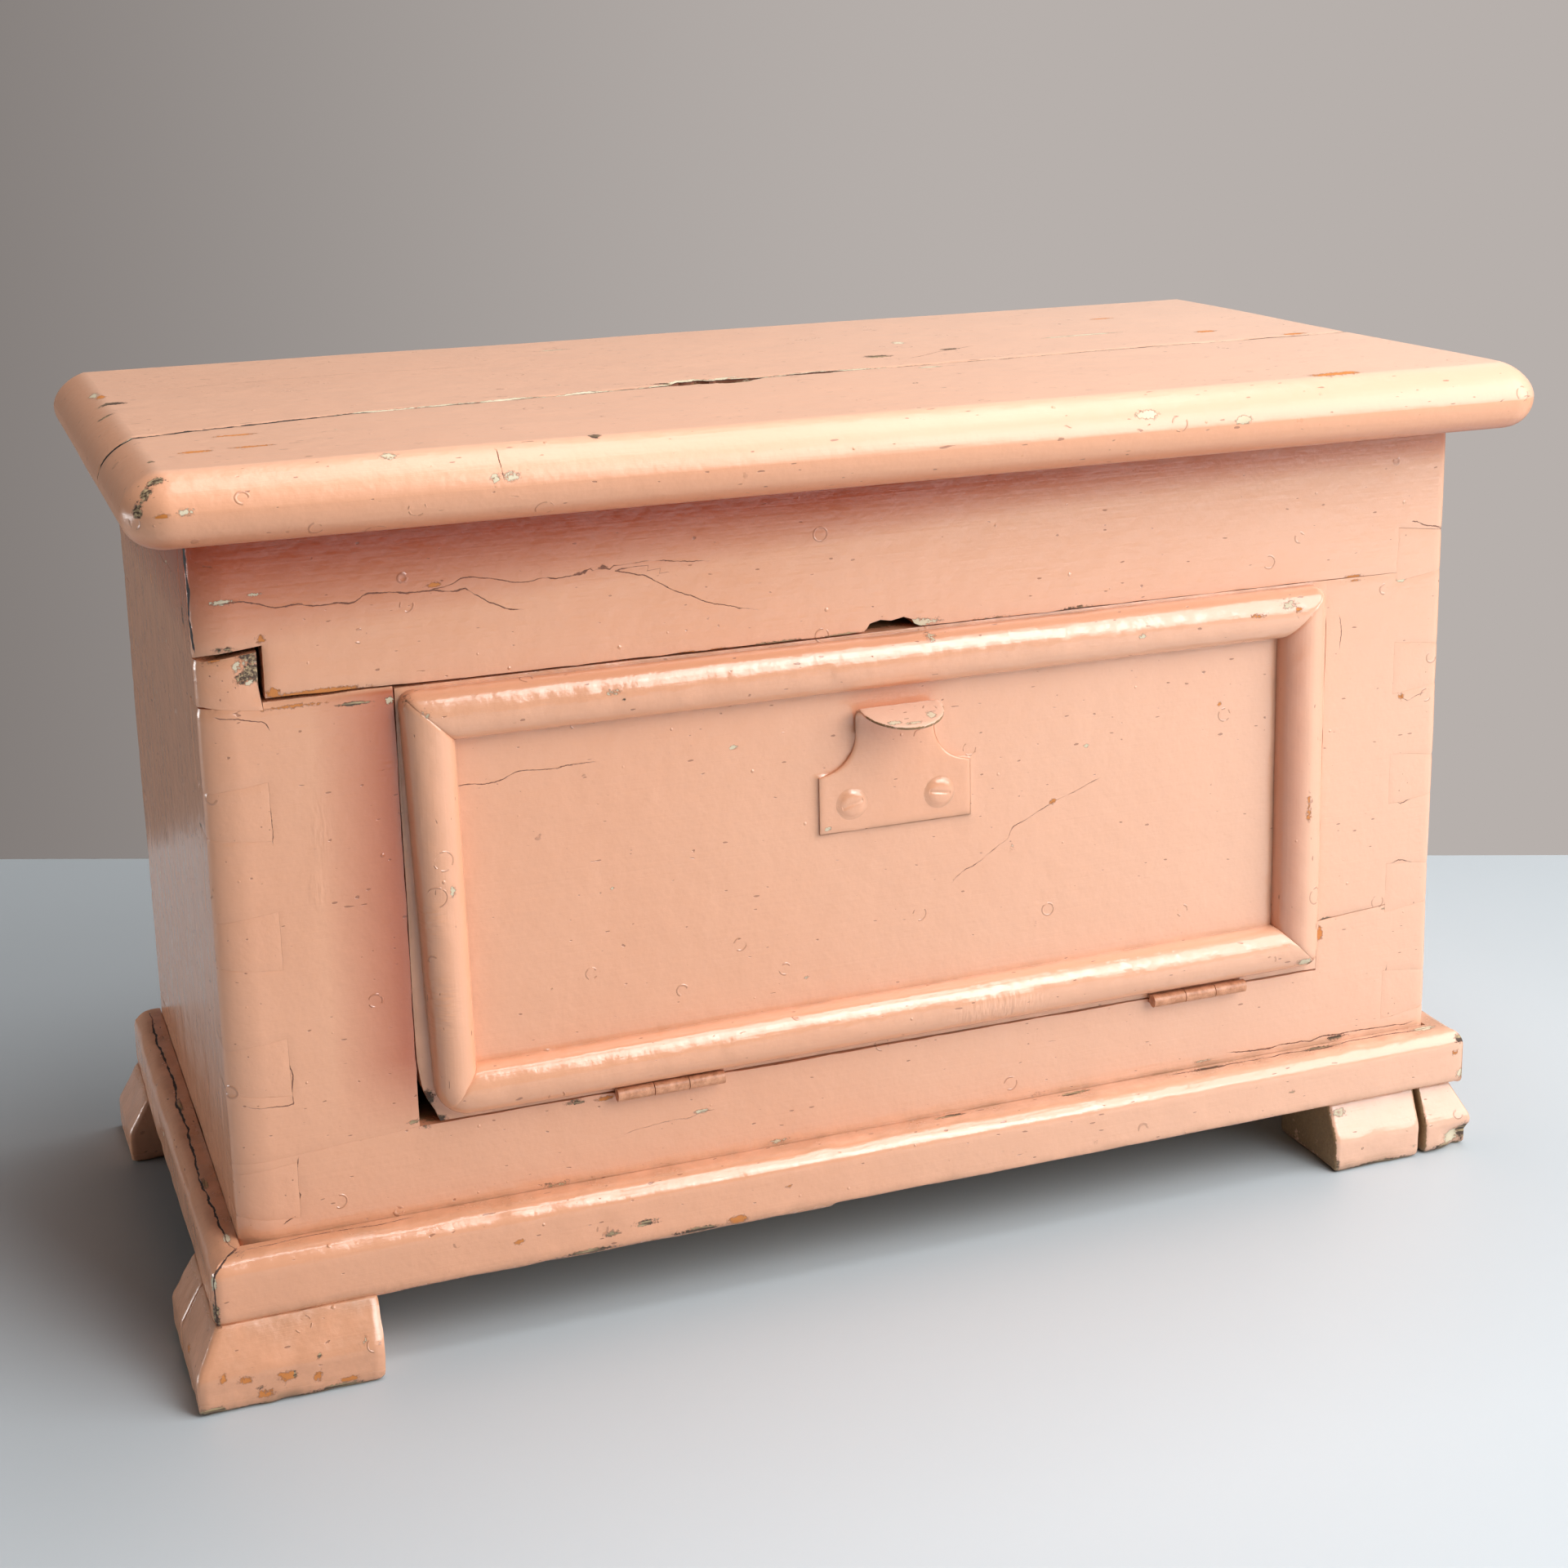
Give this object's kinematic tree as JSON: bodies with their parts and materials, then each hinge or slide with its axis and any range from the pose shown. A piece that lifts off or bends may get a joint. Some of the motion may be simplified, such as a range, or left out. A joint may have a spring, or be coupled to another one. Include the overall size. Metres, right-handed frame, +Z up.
{
  "type": "toy box",
  "caption": "Small painted pine chest with a hinged round-nosed lid, a drop-down framed front flap with a pull, a plinth and bracket feet.",
  "frame": {"origin": "on the floor, under the middle of the whole box's width and depth, knuckles included", "axes": "+Z up, +X to the right seen from the front, the front with the flap faces -Y"},
  "size_m": [0.49, 0.2515, 0.3048],
  "materials": {
    "painted_pine": "thick gloss paint, worn",
    "bare_pine": "bare, aged",
    "painted_pull": "thick gloss paint",
    "hinge_iron": "dull, dark",
    "screw_steel": "dull",
    "nail_iron": "dull, slightly rusty"
  },
  "bodies": {
    "carcass": {"back_lower_board": "painted_pine", "back_upper_board": "painted_pine", "flap_hinge_case_screws": "screw_steel", "flap_hinge_left_case_leaf": "hinge_iron", "flap_hinge_left_pin": "hinge_iron", "flap_hinge_right_case_leaf": "hinge_iron", "flap_hinge_right_pin": "hinge_iron", "flap_stop_strip": "bare_pine", "floor_front_board": "bare_pine", "floor_nails": "nail_iron", "floor_rear_board": "bare_pine", "foot_back_left_block": "painted_pine", "foot_back_right_block": "painted_pine", "foot_front_left_front_block": "painted_pine", "foot_front_left_side_block": "painted_pine", "foot_front_right_front_block": "painted_pine", "foot_front_right_side_block": "painted_pine", "foot_nails": "nail_iron", "front_bottom_board": "painted_pine", "front_left_stile": "painted_pine", "front_right_stile": "painted_pine", "front_top_board": "painted_pine", "lid_hinge_case_screws": "screw_steel", "lid_hinge_left_case_leaf": "hinge_iron", "lid_hinge_left_pin": "hinge_iron", "lid_hinge_right_case_leaf": "hinge_iron", "lid_hinge_right_pin": "hinge_iron", "plinth_front": "painted_pine", "plinth_left": "painted_pine", "plinth_nails": "nail_iron", "plinth_right": "painted_pine", "side_left_board": "painted_pine", "side_right_board": "painted_pine"},
    "lid": {"lid_dowels": "bare_pine", "lid_front_board": "painted_pine", "lid_hinge_left_lid_leaf": "hinge_iron", "lid_hinge_lid_screws": "screw_steel", "lid_hinge_right_lid_leaf": "hinge_iron", "lid_rear_board": "painted_pine"},
    "flap": {"flap_board": "painted_pine", "flap_hinge_flap_screws": "screw_steel", "flap_hinge_left_flap_leaf": "hinge_iron", "flap_hinge_right_flap_leaf": "hinge_iron", "flap_moulding_bottom": "painted_pine", "flap_moulding_left": "painted_pine", "flap_moulding_right": "painted_pine", "flap_moulding_top": "painted_pine", "moulding_brads": "nail_iron", "pull_plate": "painted_pull", "pull_screws": "painted_pull"}
  },
  "joints": [
    {"name": "lid_hinge", "type": "hinge", "parent": "carcass", "child": "lid", "pos_m": [0, 0.12275, 0.28115], "axis": [-1, 0, 0], "range_deg": [0, 190]},
    {"name": "flap_hinge", "type": "hinge", "parent": "carcass", "child": "flap", "pos_m": [0, -0.09745, 0.0778], "axis": [1, 0, 0], "range_deg": [0, 118]}
  ]
}
